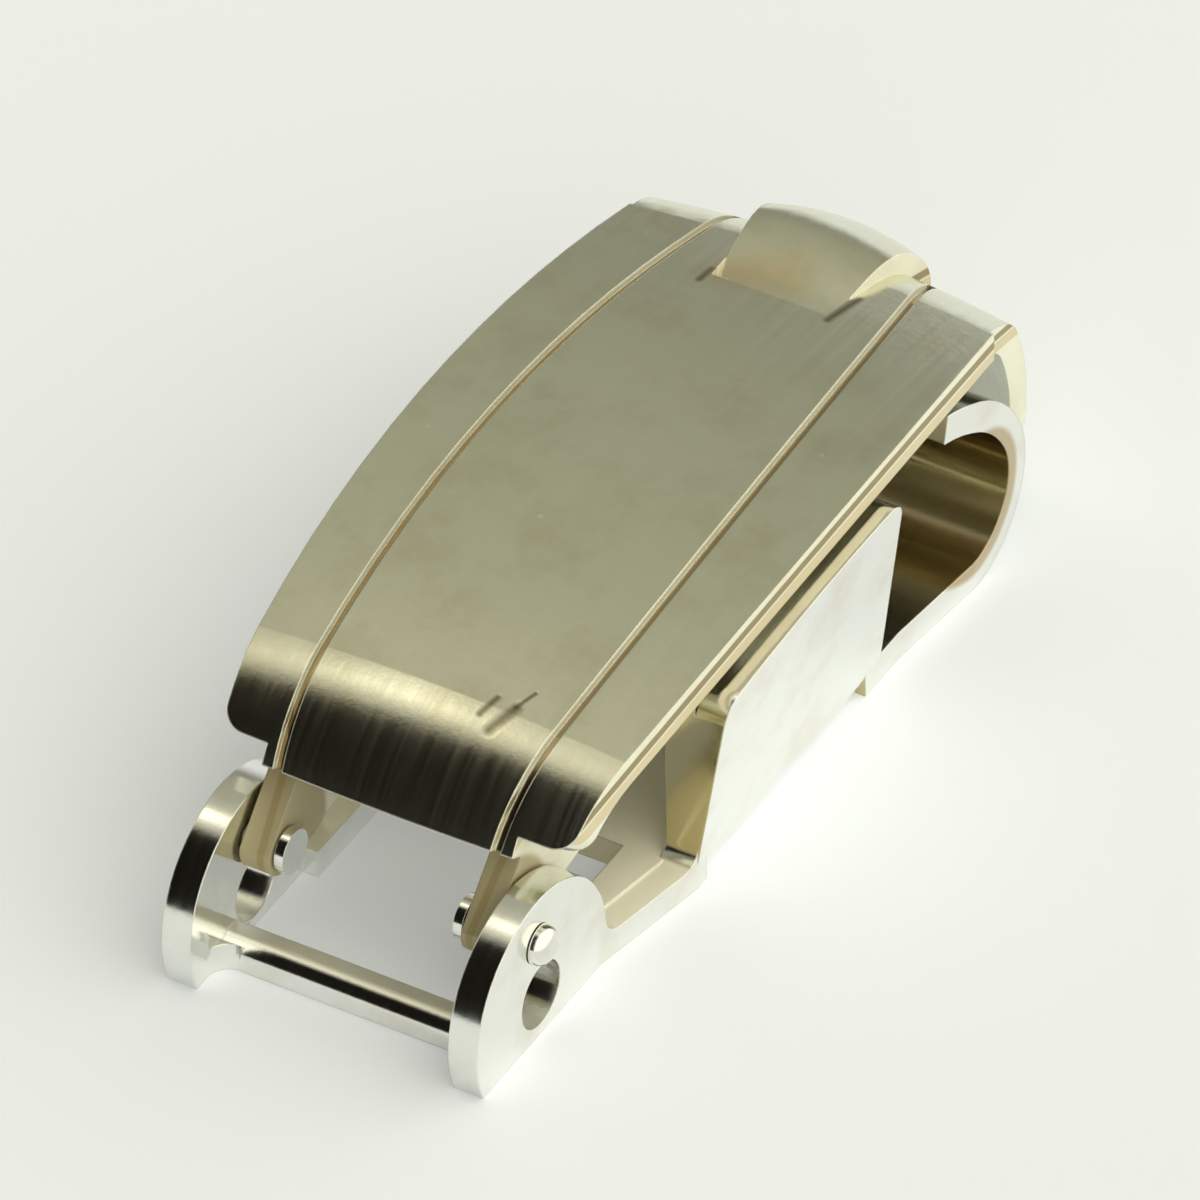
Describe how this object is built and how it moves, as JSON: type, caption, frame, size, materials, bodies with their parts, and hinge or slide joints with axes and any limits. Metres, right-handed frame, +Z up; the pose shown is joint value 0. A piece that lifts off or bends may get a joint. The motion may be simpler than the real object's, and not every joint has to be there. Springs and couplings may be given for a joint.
{
  "type": "fold-over bracelet clasp",
  "caption": "Closed fold-over bracelet clasp: an arched cover hinged on a folded sheet base, with grooves, a raised lip bridge, side tabs and a curled hook.",
  "frame": {"origin": "under the middle of the clasp's length and width, on the surface that it rests on", "axes": "+X from the hinge end to the lip end, +Y across the width, +Z up through the cover"},
  "size_m": [0.0214, 0.0098, 0.0064],
  "materials": {
    "cover_metal": "satin, nickel-plated brass with light tarnish",
    "base_metal": "polished, nickel-plated brass with light tarnish",
    "rivet_metal": "polished, nickel-plated brass"
  },
  "bodies": {
    "base": {"base": "base_metal", "rivet_left": "rivet_metal", "rivet_right": "rivet_metal"},
    "cover": {"cover": "cover_metal"}
  },
  "joints": [
    {"name": "cover_hinge", "type": "hinge", "parent": "base", "child": "cover", "pos_m": [-0.00835, 0, 0.0023], "axis": [0, -1, 0], "range_deg": [0, 100]}
  ]
}
